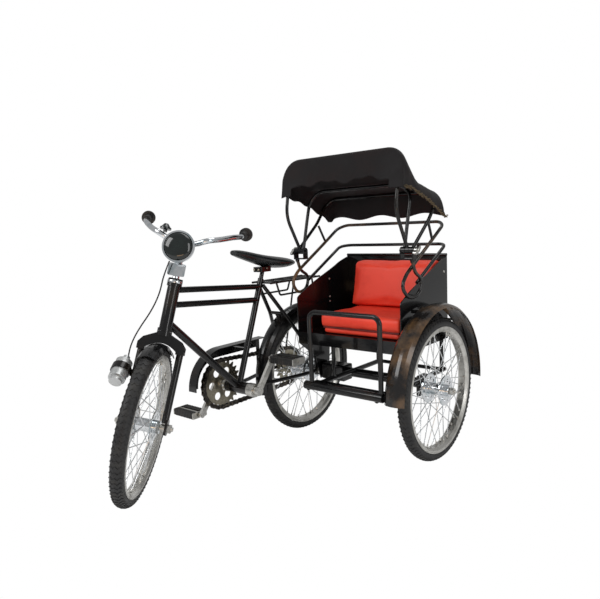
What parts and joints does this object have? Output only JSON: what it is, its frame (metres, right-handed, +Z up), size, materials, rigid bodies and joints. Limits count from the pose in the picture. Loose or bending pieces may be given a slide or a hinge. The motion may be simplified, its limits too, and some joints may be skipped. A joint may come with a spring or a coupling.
{
  "type": "cycle rickshaw",
  "caption": "A scale-model cycle rickshaw: a black bicycle with a side carriage, red seat cushions, a folding black hood and wire-spoked wheels.",
  "frame": {"origin": "floor point under the middle of the whole box", "axes": "+Z up, -Y the way the rickshaw travels, +X its left side, where the passenger carriage is; metres"},
  "size_m": [0.5028, 0.7073, 0.5819],
  "materials": {
    "black_paint": "gloss",
    "tyre": "satin",
    "rim_alloy": "satin",
    "bright_wire": "polished",
    "chrome": "polished",
    "zinc_steel": "satin",
    "bronzed_steel": "satin",
    "chain_steel": "oiled",
    "cast_alloy": "satin",
    "lamp_glass": "gloss",
    "black_rubber": "satin",
    "black_leather": "gloss",
    "red_vinyl": "gloss",
    "hood_cloth": "matte",
    "wire_sheath": "satin"
  },
  "bodies": {
    "root": {"bike_frame": "black_paint", "seat_post": "black_paint", "saddle": "black_leather", "bracket_cups": "zinc_steel", "chain": "chain_steel", "rear_axle": "zinc_steel", "chain_guard": "black_paint", "rear_mudguard": "black_paint", "rear_carrier": "black_paint", "carriage_frame": "black_paint", "axle_clamp": "black_paint", "side_axle": "zinc_steel", "footboard": "black_paint", "grab_rail": "black_paint", "seat_pan": "black_paint", "left_panel": "black_paint", "right_panel": "black_paint", "back_panel": "black_paint", "seat_cushion": "red_vinyl", "back_cushion": "red_vinyl", "side_mudguard": "black_paint", "upper_handrail": "black_paint", "lower_handrail": "black_paint", "rail_brackets": "black_paint", "hood_knuckles": "black_paint", "hood_bow_rear": "black_paint", "hood_fabric": "hood_cloth"},
    "steering": {"fork": "black_paint", "front_axle": "zinc_steel", "handlebar": "chrome", "grips": "black_rubber", "bell": "chrome", "lamp": "chrome", "lamp_glass": "lamp_glass", "lamp_bracket": "black_paint", "dynamo": "cast_alloy", "dynamo_bracket": "black_paint", "front_mudguard": "black_paint", "lamp_wire": "wire_sheath"},
    "front_wheel": {"front_tyre": "tyre", "front_rim": "rim_alloy", "front_spokes": "bright_wire", "front_hub": "chrome"},
    "rear_wheel": {"rear_tyre": "tyre", "rear_rim": "rim_alloy", "rear_spokes": "bright_wire", "rear_hub": "chrome", "rear_sprocket": "bronzed_steel"},
    "side_wheel": {"side_tyre": "tyre", "side_rim": "rim_alloy", "side_spokes": "bright_wire", "side_hub": "chrome"},
    "crank": {"crankset": "zinc_steel", "chainring": "bronzed_steel"},
    "pedal_left": {"left_pedal": "zinc_steel", "left_pedal_blocks": "black_rubber"},
    "pedal_right": {"right_pedal": "zinc_steel", "right_pedal_blocks": "black_rubber"},
    "hood_front": {"hood_bow_front": "black_paint"},
    "hood_middle": {"hood_bow_middle": "black_paint"}
  },
  "joints": [
    {"name": "steering", "type": "hinge", "parent": "root", "child": "steering", "pos_m": [-0.1106, -0.2823, 0], "axis": [0, 0.3328, 0.943], "range_deg": [-102, 22]},
    {"name": "front_wheel_spin", "type": "hinge", "parent": "steering", "child": "front_wheel", "pos_m": [-0.10418, -0.24364, 0.13258], "axis": [0.7671, 0.605, -0.2135], "continuous": true},
    {"name": "rear_wheel_spin", "type": "hinge", "parent": "root", "child": "rear_wheel", "pos_m": [-0.1106, 0.1897, 0.135], "axis": [1, 0, 0], "continuous": true},
    {"name": "side_wheel_spin", "type": "hinge", "parent": "root", "child": "side_wheel", "pos_m": [0.214, 0.1897, 0.135], "axis": [1, 0, 0], "continuous": true},
    {"name": "crank_spin", "type": "hinge", "parent": "root", "child": "crank", "pos_m": [-0.1106, -0.0158, 0.1407], "axis": [1, 0, 0], "continuous": true},
    {"name": "left_pedal_spin", "type": "hinge", "parent": "crank", "child": "pedal_left", "pos_m": [-0.0186, 0.02753, 0.1982], "axis": [1, 0, 0], "continuous": true},
    {"name": "right_pedal_spin", "type": "hinge", "parent": "crank", "child": "pedal_right", "pos_m": [-0.2146, -0.05913, 0.0832], "axis": [1, 0, 0], "continuous": true},
    {"name": "hood_front_fold", "type": "hinge", "parent": "root", "child": "hood_front", "pos_m": [0.0659, 0.1307, 0.401], "axis": [-1, 0, 0], "range_deg": [0, 50], "deforming": ["hood_fabric"]},
    {"name": "hood_middle_fold", "type": "hinge", "parent": "root", "child": "hood_middle", "pos_m": [0.0659, 0.1307, 0.401], "axis": [-1, 0, 0], "range_deg": [0, 30]}
  ],
  "couplings": [
    {"joint": "hood_middle_fold", "follows": "hood_front_fold", "ratio": 0.6}
  ]
}
